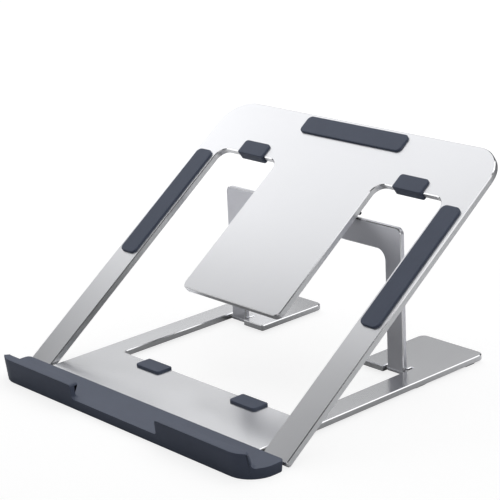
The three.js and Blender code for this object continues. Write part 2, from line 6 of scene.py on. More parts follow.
import bmesh
import bpy
from bpy.props import FloatProperty, FloatVectorProperty, PointerProperty
from mathutils import Matrix, Vector


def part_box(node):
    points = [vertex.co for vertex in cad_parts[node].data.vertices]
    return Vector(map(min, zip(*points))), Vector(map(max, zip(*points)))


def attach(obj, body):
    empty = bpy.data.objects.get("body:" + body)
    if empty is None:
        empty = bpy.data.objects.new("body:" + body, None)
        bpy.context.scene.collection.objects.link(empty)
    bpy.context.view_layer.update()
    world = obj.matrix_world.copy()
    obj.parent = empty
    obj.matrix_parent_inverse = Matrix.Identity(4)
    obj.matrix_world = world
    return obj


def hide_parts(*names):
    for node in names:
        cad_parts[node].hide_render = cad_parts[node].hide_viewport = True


bl_info = {
    "name": "Folding Laptop Stand",
    "version": (1, 0, 0),
    "blender": (4, 5, 0),
    "location": "View3D > Sidebar > Laptop Stand",
    "description": "Dresses the frame of a folding laptop stand with plates, pads and hinges",
    "category": "Add Mesh",
}

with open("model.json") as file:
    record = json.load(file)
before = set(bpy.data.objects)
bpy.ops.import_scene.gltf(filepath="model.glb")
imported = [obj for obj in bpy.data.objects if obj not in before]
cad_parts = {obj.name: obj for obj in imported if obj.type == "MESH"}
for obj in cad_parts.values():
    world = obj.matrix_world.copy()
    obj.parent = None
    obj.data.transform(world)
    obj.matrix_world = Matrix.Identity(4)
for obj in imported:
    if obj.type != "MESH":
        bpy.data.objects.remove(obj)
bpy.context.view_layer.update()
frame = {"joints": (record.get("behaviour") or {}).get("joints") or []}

MM = 0.001
SIDES = {"left": -1, "right": 1}

# Tolerances
SAME_PLACE = 1e-7  # in metres, between points that should be one
WELD_DISTANCE = 1e-6  # the same after a cut or a bevel, which is less exact
FLAT_ANGLE = math.radians(0.5)  # between two faces that should be one
FACING = 0.99  # least part of a face's normal along the axis that it faces

# Places taken from the frame
JOINTS = {joint["name"]: Vector(joint["pos_m"]) for joint in frame["joints"]}
TRAY_PIVOT = JOINTS["tray_tilt"]
ARCH_HINGE = JOINTS["arch_fold"]
BASE_LOW, BASE_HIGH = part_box("base_plate")
BAR_LOW, BAR_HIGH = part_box("front_stop_bar")
_, ARCH_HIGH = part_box("support_arch")
_, TRAY_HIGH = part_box("tray_plate")

# Corners and rims
CORNER_STEPS = 14
RIM_STEPS = 4
SMOOTH_LIMIT = math.radians(28)  # steeper edges are shaded sharp
SUNK = 0.2 * MM  # how far a pad's skirt goes into its plate
SEAT_GAP = 0.3 * MM  # between a soft piece and the plate that it holds
CUT_PAST = 1 * MM  # how far a cutter reaches past what it cuts

# Base plate
ARM_WIDTH = 17.6 * MM
FOOT_WIDTH = 53.7 * MM
HINGE_SET_BACK = 4.6 * MM  # of the arch's hinge, behind the feet's front edges
PANEL_FRONT = BAR_HIGH.y + SEAT_GAP
FLANGE_STEP = 0.8 * MM  # from the plate's faces to the flange's
FRONT_PANEL_DEPTH = 46.6 * MM
FRONT_PANEL_REAR = PANEL_FRONT + FRONT_PANEL_DEPTH
FOOT_CORNER = 5 * MM
FOOT_FRONT_CORNER = 1.5 * MM
INNER_CORNER = 3 * MM

# Hinge notches
LEG_WIDTH = 14 * MM
LEG_GAP_INNER = 1.2 * MM
LEG_STOP = 2.3 * MM  # behind the hinge
SLIT_DEPTH = 3 * MM

# Tray, drawn flat with its pivot at the origin
TRAY_LENGTH = 235 * MM
TRAY_ARM_WIDTH = 20.9 * MM
TRAY_CORNER = 22 * MM
TRAY_TOP = 2 * MM
TRAY_THICKNESS = 4.5 * MM
NOSE = 2.2 * MM
NOSE_CORNER = 1.5 * MM
TONGUE_HALF = 45.8 * MM
TONGUE_END = 82.9 * MM
TONGUE_CORNER = 4.5 * MM
WINDOW_REAR = 193 * MM
WINDOW_CORNER = 8 * MM

# Arch, drawn flat with its hinge at the origin
ARCH_LENGTH = 94 * MM
ARCH_CORNER = 4 * MM
ARCH_INNER_CORNER = 7 * MM
ARCH_BAR = 16.2 * MM
ARCH_THICKNESS = 3.5 * MM
KNUCKLE_RADIUS = 2 * MM
KNUCKLE_SEGMENTS = 48
HINGE_BORE = 1.2 * MM

# Pads
PAD_PROUD = 1.5 * MM
TOP_PAD = {"width": 92 * MM, "depth": 13.8 * MM, "corner": 3.5 * MM, "from_rear": 2.6 * MM}
ARM_PAD = {"width": 15 * MM, "depth": 93.2 * MM, "corner": 4 * MM, "from_rear": 47 * MM}
ARM_PAD_FROM_SIDE = 3.2 * MM
CLIP_WALL = 1.2 * MM
CLIP_RETURN = 5 * MM
CLIP_RETURN_THICKNESS = 0.8 * MM
CLIP_CORNER = 2.5 * MM
CLIP_WALL_CORNER = CLIP_CORNER / 2
TRAY_CLIP_REACH = 9.9 * MM
BASE_CLIP_REACH = 10.6 * MM
FOOT_PAD_CORNER = 3 * MM

# Rest strip under the tongue
STRIP_LENGTH = 86 * MM
STRIP_REACH = 6.8 * MM  # in front of the arch
STRIP_RIB_GAP = 0.8 * MM  # behind the arch
STRIP_RIB_WIDTH = 2.2 * MM
STRIP_RIB_HEIGHT = 2 * MM
STRIP_ROUND = 0.5 * MM
STRIP_END_ROUND = STRIP_ROUND / 2

# Stop bar
BAR_FLOOR = 6.9 * MM
BAR_REAR_CORNER = 3.5 * MM
BAR_DRAFT = 0.08
BAR_RIM = 0.5 * MM
BAR_SHARP = math.radians(40)  # edges steeper than this are rounded
WALL_THICKNESS = 3.3 * MM
WALL_FILLET = 2.8 * MM
LIP_REACH = 5.6 * MM
LIP_THICKNESS = 1.9 * MM
LIP_END_SEGMENTS = 144
OPENING_SHORT = 5 * MM  # of the corner's centre, where the straight cut beside the lip ends
CHANNEL_TURN = math.radians(100)  # of the channel round each front corner
CHANNEL_STEPS = 40
GAP_HALF = 41.7 * MM
GAP_END = {"slant": 0, "fillet": 2 * MM}
WALL_END = {"slant": 1 * MM, "fillet": 3 * MM}
WALL_END_TURN = math.radians(41)
WALL_END_ROUND = 1.8 * MM
FILLET_STEPS = 7
END_ROUND_STEPS = 6
POCKET_LOW = 2.1 * MM
POCKET_HIGH = 5.1 * MM

# How far the stop bar's longer cutters reach
BAR_CUT_PAST = 5 * MM
WALL_CUT_PAST = 4 * MM
WALL_CUT_WIDTH = 1.5  # times the corner's radius
GAP_CUT_PAST = 3 * MM
GAP_CUT_DEPTH = 12 * MM
SCREW_CUT_LENGTH = 6 * MM

# Pins, washers and screws
PIN_SEGMENTS = 32
PIN_EASE = 0.25 * MM
RING_BORE = 1.05 * MM
RING_EASE = 0.12 * MM
SCREW_NUMBERS = range(1, 5)
SCREW_HEAD = 2.2 * MM
SCREW_SHANK = 1 * MM
SCREW_CONE = 1.2 * MM
SCREW_EASE = 0.15 * MM
SLOT_HALF_LENGTH = 1.2 * MM
SLOT_HALF_WIDTH = 0.25 * MM
SLOT_DEPTH = 0.7 * MM


class StandSizes(bpy.types.PropertyGroup):
    """Sizes that change the look of the stand without moving its frame."""

    tray_tilt: FloatProperty(
        name="Tray tilt", description="Angle of the tray over the table",
        default=math.radians(35.5), subtype="ANGLE")
    arch_lean: FloatProperty(
        name="Arch lean", description="How far the arch leans back from upright",
        default=math.radians(1.3), subtype="ANGLE")
    plate_chamfer: FloatProperty(
        name="Plate chamfer", description="Width of the polished chamfer round each plate",
        default=0.5 * MM, unit="LENGTH", subtype="DISTANCE", precision=4)
    pad_round: FloatProperty(
        name="Pad rounding", description="Radius of the soft edge round each pad",
        default=0.55 * MM, unit="LENGTH", subtype="DISTANCE", precision=4)
    bar_corner: FloatProperty(
        name="Bar corner", description="Radius of the stop bar's front corners",
        default=18 * MM, unit="LENGTH", subtype="DISTANCE", precision=4)
    bar_round: FloatProperty(
        name="Bar rounding", description="Radius of the stop bar's edges",
        default=0.25 * MM, unit="LENGTH", subtype="DISTANCE", precision=4)


class StandColours(bpy.types.PropertyGroup):
    """Colours of the stand's finishes."""

    anodised: FloatVectorProperty(
        name="Anodised plate", description="Colour of the satin anodised plates",
        default=(0.76, 0.765, 0.785), subtype="COLOR", min=0, max=1)
    # Painted light: the arch has the plates' anodising, painted lighter and bluer for the light
    # it reflects
    arch: FloatVectorProperty(
        name="Arch, painted lighter", description="Colour of the arch, the plates' anodising painted lighter",
        default=(0.83, 0.835, 0.885), subtype="COLOR", min=0, max=1)
    chamfer: FloatVectorProperty(
        name="Polished chamfer", description="Colour of the diamond-cut chamfers",
        default=(0.86, 0.865, 0.88), subtype="COLOR", min=0, max=1)
    silicone: FloatVectorProperty(
        name="Silicone", description="Colour of the pads, clips and stop bar",
        default=(0.102, 0.121, 0.172), subtype="COLOR", min=0, max=1)
    rubber: FloatVectorProperty(
        name="Rubber", description="Colour of the rest strip and foot pads",
        default=(0.022, 0.023, 0.026), subtype="COLOR", min=0, max=1)
    floor: FloatVectorProperty(
        name="Floor", description="Colour of the table top",
        default=(0.92, 0.92, 0.92), subtype="COLOR", min=0, max=1)


# ------------------------------------------------------------------ finishes


class Finish:
    """Builds one material from shader nodes that read Object coordinates."""

    def __init__(self, name):
        self.material = bpy.data.materials.new(name)
        self.material.use_nodes = True
        self.tree = self.material.node_tree
        self.shader = self.tree.nodes["Principled BSDF"]
        self.place = self.tree.nodes.new("ShaderNodeTexCoord").outputs["Object"]

    def node(self, kind, **inputs):
        """Adds a node, with the values of its inputs."""
        made = self.tree.nodes.new(kind)
        for name, value in inputs.items():
            made.inputs[name.replace("_", " ")].default_value = value
        return made

    def link(self, output, socket):
        self.tree.links.new(output, socket)

    def noise(self, scale, detail=2.0, roughness=0.5, stretch=(1, 1, 1)):
        """A noise pattern in the piece's own space."""
        mapping = self.node("ShaderNodeMapping", Scale=stretch)
        noise = self.node("ShaderNodeTexNoise", Scale=scale, Detail=detail, Roughness=roughness)
        self.link(self.place, mapping.inputs["Vector"])
        self.link(mapping.outputs["Vector"], noise.inputs["Vector"])
        return noise.outputs["Fac"]

    def spread(self, value, low, high, start=0.0, end=1.0):
        """Maps a value that runs from start to end onto low to high."""
        span = self.node(
            "ShaderNodeMapRange", From_Min=start, From_Max=end, To_Min=low, To_Max=high)
        self.link(value, span.inputs["Value"])
        return span.outputs["Result"]

    def tint(self, value, dark, light):
        """Lets a pattern choose between two colours."""
        mix = self.tree.nodes.new("ShaderNodeMix")
        mix.data_type = "RGBA"
        mix.inputs["A"].default_value = (*dark, 1)
        mix.inputs["B"].default_value = (*light, 1)
        self.link(value, mix.inputs["Factor"])
        self.link(mix.outputs["Result"], self.shader.inputs["Base Color"])

    def roughen(self, value, low, high):
        """Lets a pattern set the roughness between two levels."""
        self.link(self.spread(value, low, high), self.shader.inputs["Roughness"])

    def bump(self, value, strength, distance):
        """Lets a pattern raise the surface."""
        bump = self.node("ShaderNodeBump", Strength=strength, Distance=distance)
        self.link(value, bump.inputs["Height"])
        self.link(bump.outputs["Normal"], self.shader.inputs["Normal"])

    def set(self, **inputs):
        """Sets plain values on the main shader."""
        for name, value in inputs.items():
            self.shader.inputs[name.replace("_", " ")].default_value = value

    def choose(self, value, first, second):
        """Mixes two shaders: the first where the value is 0, the second where it is 1."""
        mix = self.node("ShaderNodeMixShader")
        self.link(value, mix.inputs["Fac"])
        self.link(first, mix.inputs[1])
        self.link(second, mix.inputs[2])
        return mix.outputs["Shader"]


def shade(colour, factor):
    """A colour made darker or lighter."""
    return tuple(min(1.0, channel * factor) for channel in colour)


def anodised(name, colour, roughness):
    """Bead-blasted, anodised aluminium: an even satin grain with a faint cloudiness."""
    finish = Finish(name)
    cloud = finish.noise(scale=28, detail=3)
    grain = finish.noise(scale=2600, detail=1)
    finish.tint(cloud, shade(colour, 0.98), shade(colour, 1.02))
    finish.roughen(cloud, roughness - 0.02, roughness + 0.02)
    finish.bump(grain, strength=0.04, distance=0.00001)
    finish.set(Metallic=1.0)
    return finish.material


def polished(name, colour):
    """A diamond-cut chamfer with faint tool marks."""
    finish = Finish(name)
    marks = finish.noise(scale=900, detail=2)
    finish.tint(marks, shade(colour, 0.96), colour)
    finish.roughen(marks, 0.10, 0.16)
    finish.set(Metallic=1.0)
    return finish.material


def silicone(name, colour, roughness=0.55, specular=0.3):
    """Moulded silicone: a fine matt grain, slightly dusty on its rises."""
    finish = Finish(name)
    cloud = finish.noise(scale=60, detail=4, roughness=0.6)
    grain = finish.noise(scale=3000, detail=3, roughness=0.6)
    finish.tint(cloud, shade(colour, 0.92), shade(colour, 1.08))
    finish.roughen(grain, roughness - 0.05, roughness + 0.07)
    finish.bump(grain, strength=0.2, distance=0.00004)
    finish.set(Specular_IOR_Level=specular)
    return finish.material


def steel(name, level, roughness):
    """Ground steel, with fine turning lines along X."""
    finish = Finish(name)
    lines = finish.noise(scale=700, detail=2, stretch=(6, 1, 1))
    tone = (level, level, level * 1.02)
    finish.tint(lines, shade(tone, 0.85), tone)
    finish.roughen(lines, roughness - 0.05, roughness + 0.06)
    finish.bump(lines, strength=0.1, distance=0.00002)
    finish.set(Metallic=1.0)
    return finish.material


def table_top(name, colour):
    """A matt table, near white to the camera and in metal, that gives the object little light. In
    metal and glass it has a painted shadow beneath the stand.
    """
    finish = Finish(name)
    length = finish.node("ShaderNodeVectorMath")
    length.operation = "LENGTH"
    finish.link(finish.place, length.inputs[0])
    from_middle = length.outputs["Value"]

    # In metal and glass it shows its colour, with a painted shadow that darkens it beneath
    # the stand. Light that it throws back comes from a dim grey.
    # Painted shadow: the colour falls to 0.38 of itself near the middle, back to full from 16 cm
    # out
    beyond = finish.spread(from_middle, 0.0, 1.0, start=0.06, end=0.16)
    finish.tint(beyond, shade(colour, 0.38), colour)
    finish.set(Roughness=0.9, Specular_IOR_Level=0.0)
    path = finish.node("ShaderNodeLightPath")
    mirrored_ray = finish.node("ShaderNodeMath")
    mirrored_ray.operation = "MAXIMUM"
    finish.link(path.outputs["Is Glossy Ray"], mirrored_ray.inputs[0])
    finish.link(path.outputs["Is Transmission Ray"], mirrored_ray.inputs[1])
    dim = finish.node("ShaderNodeBsdfDiffuse", Color=(0.20, 0.20, 0.21, 1))
    unseen = finish.choose(
        mirrored_ray.outputs["Value"], dim.outputs["BSDF"], finish.shader.outputs["BSDF"])

    # The camera sees a glow that a lit grey brings up to white, so the shadow stays
    lit = finish.node("ShaderNodeBsdfDiffuse", Color=(0.30, 0.30, 0.30, 1))
    white = finish.node("ShaderNodeEmission", Color=(1, 1, 1, 1))
    glow = finish.spread(from_middle, 0.81, 1.0, start=0.25, end=0.8)
    finish.link(glow, white.inputs["Strength"])
    backdrop = finish.node("ShaderNodeAddShader")
    finish.link(lit.outputs["BSDF"], backdrop.inputs[0])
    finish.link(white.outputs["Emission"], backdrop.inputs[1])
    seen = finish.choose(path.outputs["Is Camera Ray"], unseen, backdrop.outputs["Shader"])
    finish.link(seen, finish.tree.nodes["Material Output"].inputs["Surface"])
    return finish.material


FINISHES = {}


def finish_named(name):
    """Makes each finish once, from the colours in the sidebar."""
    if name not in FINISHES:
        colours = bpy.context.scene.stand_colours
        makers = {
            "tray plate": lambda: anodised(name, colours.anodised, 0.32),
            "base plate": lambda: anodised(name, colours.anodised, 0.21),
            # Painted light: the arch's colour is a lighter copy of the plates' anodising
            "arch painted lighter": lambda: anodised(name, colours.arch, 0.40),
            "polished chamfer": lambda: polished(name, colours.chamfer),
            "pad silicone": lambda: silicone(name, colours.silicone),
            "bar silicone": lambda: silicone(name, shade(colours.silicone, 1.05), 0.5),
            "foot rubber": lambda: silicone(name, colours.rubber, 0.7),
            "strip rubber": lambda: silicone(name, shade(colours.rubber, 0.8), 0.7),
            "pin steel": lambda: steel(name, 0.62, 0.25),
            "washer steel": lambda: steel(name, 0.5, 0.32),
            "spacer polymer": lambda: silicone(name, shade(colours.rubber, 1.2), 0.4, 0.5),
        }
        FINISHES[name] = makers[name]()
    return FINISHES[name]


# ------------------------------------------------------------------ shaping


def outline(bm, corners, steps=CORNER_STEPS):
    """One face through [x, y, radius] corners, each rounded by its own radius."""
    verts = [bm.verts.new((x, y, 0)) for x, y, _ in corners]
    bm.faces.new(verts)
    by_radius = {}
    for vert, (_, _, radius) in zip(verts, corners):
        by_radius.setdefault(radius, []).append(vert)
    for radius, group in by_radius.items():
        if radius:
            bmesh.ops.bevel(
                bm, geom=group, offset=radius, offset_type="OFFSET", affect="VERTICES",
                segments=steps, profile=0.5, material=-1, clamp_overlap=False)


def mirrored(corners):
    """The right half's corners and then the left half's, in one turn."""
    return corners + [[-x, y, radius] for x, y, radius in reversed(corners)]


def pull(bm, faces, along):
    """Extrudes faces along a vector."""
    made = bmesh.ops.extrude_face_region(bm, geom=faces)
    verts = [item for item in made["geom"] if isinstance(item, bmesh.types.BMVert)]
    bmesh.ops.translate(bm, verts=verts, vec=along)


def pull_out(bm, faces, along):
    """Extrudes faces of a closed shape, and deletes the first ones, which stay inside it."""
    pull(bm, faces, along)
    bmesh.ops.delete(bm, geom=[face for face in faces if face.is_valid], context="FACES_ONLY")


def raise_face(bm, bottom, top):
    """Turns the flat outline into a block between two heights."""
    bmesh.ops.translate(bm, verts=bm.verts, vec=(0, 0, bottom))
    pull(bm, bm.faces[:], (0, 0, top - bottom))
    bmesh.ops.recalc_face_normals(bm, faces=bm.faces)


def level_edges(bm, *heights):
    """The edges that lie at one of the heights."""
    return [
        edge for edge in bm.edges
        if any(
            all(abs(vert.co.z - height) < SAME_PLACE for vert in edge.verts)
            for height in heights)
    ]


def round_edges(bm, edges, size, steps=RIM_STEPS, material=-1):
    """Rounds edges in some steps, or chamfers them in one."""
    bmesh.ops.bevel(
        bm, geom=edges, offset=size, offset_type="OFFSET", affect="EDGES",
        segments=steps, profile=0.5, material=material, clamp_overlap=True, loop_slide=True)


def block(low, high):
    """A plain box, as a cutter."""
    bm = bmesh.new()
    bmesh.ops.create_cube(bm, size=1)
    size = Vector(high) - Vector(low)
    bmesh.ops.scale(bm, vec=size, verts=bm.verts)
    bmesh.ops.translate(bm, vec=(Vector(low) + Vector(high)) / 2, verts=bm.verts)
    return bm


def cylinder(radius, length, segments=PIN_SEGMENTS, top_radius=None):
    """A closed cylinder about Z, or a cone where its top has another radius."""
    if top_radius is None:
        top_radius = radius
    bm = bmesh.new()
    bmesh.ops.create_cone(
        bm, cap_ends=True, segments=segments, radius1=radius, radius2=top_radius, depth=length)
    return bm


def moved(bm, matrix):
    """The shape itself, once it is moved."""
    bmesh.ops.transform(bm, matrix=matrix, verts=bm.verts)
    return bm


def along_x(bm, centre):
    """Lays a shape that was made along Z so that it runs along X through a centre."""
    return moved(bm, Matrix.Translation(centre) @ Matrix.Rotation(math.pi / 2, 4, "Y"))


def combined(first, second, operation):
    """The first shape with the second added (UNION) or cut away (DIFFERENCE)."""
    objects = []
    for bm in (first, second):
        mesh = bpy.data.meshes.new("working")
        bm.to_mesh(mesh)
        bm.free()
        objects.append(bpy.data.objects.new("working", mesh))
        bpy.context.scene.collection.objects.link(objects[-1])
    modifier = objects[0].modifiers.new("Combine", "BOOLEAN")
    modifier.object = objects[1]
    modifier.operation = operation
    modifier.solver = "EXACT"
    result = bmesh.new()
    result.from_object(objects[0], bpy.context.evaluated_depsgraph_get())
    for obj in objects:
        mesh = obj.data
        bpy.data.objects.remove(obj)
        bpy.data.meshes.remove(mesh)
    bmesh.ops.remove_doubles(result, verts=result.verts, dist=WELD_DISTANCE)
    bmesh.ops.dissolve_limit(
        result, angle_limit=FLAT_ANGLE, verts=result.verts, edges=result.edges)
    return result


def cut(bm, *cutters):
    """The shape with each cutter taken away in turn."""
    for cutter in cutters:
        bm = combined(bm, cutter, "DIFFERENCE")
    return bm


def add_piece(name, bm, finishes, body, nodes, weighted=True):
    """Puts a finished shape in the scene, on its body, in place of its CAD nodes."""
    for face in bm.faces:
        face.smooth = True
    for edge in bm.edges:
        edge.smooth = len(edge.link_faces) == 2 and edge.calc_face_angle(0) < SMOOTH_LIMIT
    mesh = bpy.data.meshes.new(name)
    bm.to_mesh(mesh)
    bm.free()
    obj = bpy.data.objects.new(name, mesh)
    bpy.context.scene.collection.objects.link(obj)
    for finish in finishes:
        mesh.materials.append(finish_named(finish))
    if weighted:
        modifier = obj.modifiers.new("Even normals", "WEIGHTED_NORMAL")
        modifier.keep_sharp = True
        modifier.weight = 100
    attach(obj, body)
    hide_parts(*nodes)
    return obj


def chamfered_plate(corners, bottom, top, chamfer):
    """A plate whose rims are cut by a bright chamfer, which is material 1."""
    bm = bmesh.new()
    outline(bm, corners)
    raise_face(bm, bottom, top)
    round_edges(bm, level_edges(bm, bottom, top), chamfer, steps=1, material=1)
    return bm


def tray_matrix():
    """Takes the flat tray, whose pivot is at the origin, to its place."""
    tilt = bpy.context.scene.stand_sizes.tray_tilt
    return Matrix.Translation(TRAY_PIVOT) @ Matrix.Rotation(tilt, 4, "X")


def arch_matrix():
    """Takes the flat arch, whose hinge is at the origin, to its place."""
    lean = bpy.context.scene.stand_sizes.arch_lean
    return Matrix.Translation(ARCH_HINGE) @ Matrix.Rotation(math.pi / 2 - lean, 4, "X")


# ------------------------------------------------------------------ stage

FLOOR_RADIUS = 6  # in metres, as are the camera's and the lamps' places
FLOOR_SEGMENTS = 64
WORLD_COLOUR = (0.95, 0.97, 1.0, 1)
WORLD_LIGHT = 0.09
CAMERA_PLACE = Vector((0.80951, -0.68490, 0.42379))
CAMERA_ANGLES = (49.507, 17.825, -3.722)  # azimuth, elevation and roll in degrees
CAMERA_LENS = 128.08
CAMERA_SENSOR = 36
CAMERA_REACH = 20
LAMP_AIM = Vector((0, 0, 0.06))
LAMPS = (
    # name, place in metres, width and height in metres, watts
    ("key_softbox", (-0.47, 0.31, 0.68), (0.9, 0.62), 2.0),
    ("side_card", (-0.59, 0.21, 0.32), (0.57, 0.32), 0.40),
    ("back_card", (-0.37, 0.65, 0.25), (0.52, 0.32), 0.19),
    ("front_left_card", (-0.56, -0.22, 0.50), (0.48, 0.26), 0.21),
    ("low_front_card", (-0.62, -0.55, 0.08), (0.5, 0.12), 0.27),
    ("overhead_softbox", (0.0, 0.10, 1.25), (1.2, 1.2), 3.9),
    ("back_right_softbox", (0.48, 0.77, 0.90), (0.7, 0.7), 2.0),
    ("right_card", (0.70, 0.14, 0.50), (0.6, 0.26), 0.35),
    ("right_front_card", (0.95, -0.75, 0.28), (0.8, 0.45), 1.0),
    ("edge_card", (0.62, 0.08, 0.76), (0.36, 0.3), 0.33),
    ("front_fill", (0.5, -1.4, 0.7), (0.8, 0.8), 0.8),
)


class STAND_OT_stage(bpy.types.Operator):
    """Sets up the table top, the studio light and the camera"""

    bl_idname = "stand.stage"
    bl_label = "Stage"

    def execute(self, context):
        scene = context.scene
        scene.view_settings.view_transform = "Standard"
        self.add_floor(scene)
        self.add_world(scene)
        self.add_lamps(scene)
        self.add_camera(scene)
        return {"FINISHED"}

    def add_floor(self, scene):
        bm = bmesh.new()
        bmesh.ops.create_circle(bm, cap_ends=True, radius=FLOOR_RADIUS, segments=FLOOR_SEGMENTS)
        mesh = bpy.data.meshes.new("table_top")
        bm.to_mesh(mesh)
        bm.free()
        floor = bpy.data.objects.new("table_top", mesh)
        scene.collection.objects.link(floor)
        mesh.materials.append(table_top("table top", scene.stand_colours.floor))

    def add_world(self, scene):
        world = bpy.data.worlds.new("studio")
        scene.world = world
        world.use_nodes = True
        light = world.node_tree.nodes["Background"]
        light.inputs["Color"].default_value = WORLD_COLOUR
        light.inputs["Strength"].default_value = WORLD_LIGHT

    def add_lamps(self, scene):
        for name, place, (width, height), power in LAMPS:
            lamp = bpy.data.lights.new(name, "AREA")
            lamp.shape = "RECTANGLE"
            lamp.size = width
            lamp.size_y = height
            lamp.energy = power
            obj = bpy.data.objects.new(name, lamp)
            scene.collection.objects.link(obj)
            obj.location = place
            aim = LAMP_AIM - Vector(place)
            obj.rotation_euler = aim.to_track_quat("-Z", "Y").to_euler()

    def add_camera(self, scene):
        camera = bpy.data.cameras.new("camera")
        camera.lens = CAMERA_LENS
        camera.sensor_width = CAMERA_SENSOR
        camera.clip_end = CAMERA_REACH
        obj = bpy.data.objects.new("camera", camera)
        scene.collection.objects.link(obj)
        azimuth, elevation, roll = map(math.radians, CAMERA_ANGLES)
        back = Vector((
            math.sin(azimuth) * math.cos(elevation),
            -math.cos(azimuth) * math.cos(elevation),
            math.sin(elevation),
        ))
        right = Vector((0, 0, 1)).cross(back).normalized()
        up = back.cross(right)
        turned_right = right * math.cos(roll) + up * math.sin(roll)
        turned_up = up * math.cos(roll) - right * math.sin(roll)
        axes = Matrix((turned_right, turned_up, back)).transposed().to_4x4()
        obj.matrix_world = Matrix.Translation(CAMERA_PLACE) @ axes
        scene.camera = obj


# ------------------------------------------------------------------ plates


class STAND_OT_base_plate(bpy.types.Operator):
    """Cuts the U-shaped base plate, with its feet, hinge notches and front flange"""

    bl_idname = "stand.base_plate"
    bl_label = "Base plate"

    def execute(self, context):
        chamfer = context.scene.stand_sizes.plate_chamfer
        side = BASE_HIGH.x
        arm_inner = side - ARM_WIDTH
        foot_inner = side - FOOT_WIDTH
        hinge = ARCH_HINGE.y
        foot_front = hinge - HINGE_SET_BACK
        leg_outer = ARCH_HIGH.x
        leg_inner = leg_outer - LEG_WIDTH
        stop = hinge + LEG_STOP
        slit = stop + SLIT_DEPTH
        notch_inner = leg_inner - LEG_GAP_INNER
        corners = mirrored([
            [side, PANEL_FRONT, 0],
            [side, BASE_HIGH.y, FOOT_CORNER],
            [foot_inner, BASE_HIGH.y, FOOT_CORNER],
            [foot_inner, foot_front, FOOT_FRONT_CORNER],
            [notch_inner, foot_front, 0],
            [notch_inner, slit, 0],
            [leg_inner, slit, 0],
            [leg_inner, stop, 0],
            [leg_outer, stop, 0],
            [leg_outer, slit, 0],
            [arm_inner, slit, 0],
            [arm_inner, FRONT_PANEL_REAR, INNER_CORNER],
        ])
        bm = chamfered_plate(corners, BASE_LOW.z, BASE_HIGH.z, chamfer)
        self.draw_flange(bm, chamfer)
        add_piece(
            "base_panel", bm, ("base plate", "polished chamfer"), "base",
            ["base_plate"])
        return {"FINISHED"}

    def draw_flange(self, bm, chamfer):
        """Pulls the thinner flange forwards out of the plate's front face."""
        front = [
            face for face in bm.faces
            if face.normal.y < -FACING
            and face.calc_center_median().y < PANEL_FRONT + WELD_DISTANCE
        ]
        bmesh.ops.inset_region(
            bm, faces=front, thickness=FLANGE_STEP - chamfer, use_even_offset=True)
        pull_out(bm, front, (0, BASE_LOW.y - PANEL_FRONT, 0))


class STAND_OT_tray_plate(bpy.types.Operator):
    """Cuts the tray: two arms, a broad top and a tongue between two windows"""

    bl_idname = "stand.tray_plate"
    bl_label = "Tray plate"

    def execute(self, context):
        chamfer = context.scene.stand_sizes.plate_chamfer
        side = TRAY_HIGH.x
        arm_inner = side - TRAY_ARM_WIDTH
        right = [
            [TONGUE_HALF, TONGUE_END, TONGUE_CORNER],
            [TONGUE_HALF, WINDOW_REAR, WINDOW_CORNER],
            [arm_inner, WINDOW_REAR, WINDOW_CORNER],
            [arm_inner, -NOSE, NOSE_CORNER],
            [side, -NOSE, NOSE_CORNER],
            [side, TRAY_LENGTH, TRAY_CORNER],
        ]
        bm = chamfered_plate(mirrored(right), TRAY_TOP - TRAY_THICKNESS, TRAY_TOP, chamfer)
        add_piece(
            "tray_panel", moved(bm, tray_matrix()), ("tray plate", "polished chamfer"), "tray",
            ["tray_plate"])
        return {"FINISHED"}


class STAND_OT_arch(bpy.types.Operator):
    """Cuts the support arch: a crossbar on two legs that end in round hinge knuckles"""

    bl_idname = "stand.arch"
    bl_label = "Support arch"

    def execute(self, context):
        chamfer = context.scene.stand_sizes.plate_chamfer
        outer = ARCH_HIGH.x
        inner = outer - LEG_WIDTH
        half = ARCH_THICKNESS / 2
        bm = chamfered_plate(mirrored([
            [inner, ARCH_LENGTH - ARCH_BAR, ARCH_INNER_CORNER],
            [inner, 0, 0],
            [outer, 0, 0],
            [outer, ARCH_LENGTH, ARCH_CORNER],
        ]), -half, half, chamfer)
        for side in (1, -1):
            leg = Vector((side * (inner + outer) / 2, 0, 0))
            knuckle = along_x(cylinder(KNUCKLE_RADIUS, LEG_WIDTH, KNUCKLE_SEGMENTS), leg)
            bore = along_x(cylinder(HINGE_BORE, 2 * LEG_WIDTH, KNUCKLE_SEGMENTS), leg)
            bm = cut(combined(bm, knuckle, "UNION"), bore)
        add_piece(
            "arch_frame", moved(bm, arch_matrix()), ("arch painted lighter", "polished chamfer"), "arch",
            ["support_arch"])
        return {"FINISHED"}


# ------------------------------------------------------------------ soft pieces


def pulled(points, place, along):
    """Draws points as one face, each where place puts it, and pulls it along a vector."""
    bm = bmesh.new()
    face = bm.faces.new([bm.verts.new(place(u, v)) for u, v in points])
    pull(bm, [face], along)
    bmesh.ops.recalc_face_normals(bm, faces=bm.faces)
    return bm


def arc(u, v, radius, start, end, steps):
    """Points of an arc, from one angle to another in degrees."""
    turns = [math.radians(start + (end - start) * step / steps) for step in range(steps + 1)]
    return [(u + radius * math.cos(turn), v + radius * math.sin(turn)) for turn in turns]


def reflected(bm):
    """The left-hand twin of a right-hand shape."""
    twin = bm.copy()
    bmesh.ops.scale(twin, vec=(-1, 1, 1), verts=twin.verts)
    bmesh.ops.reverse_faces(twin, faces=twin.faces)
    return twin


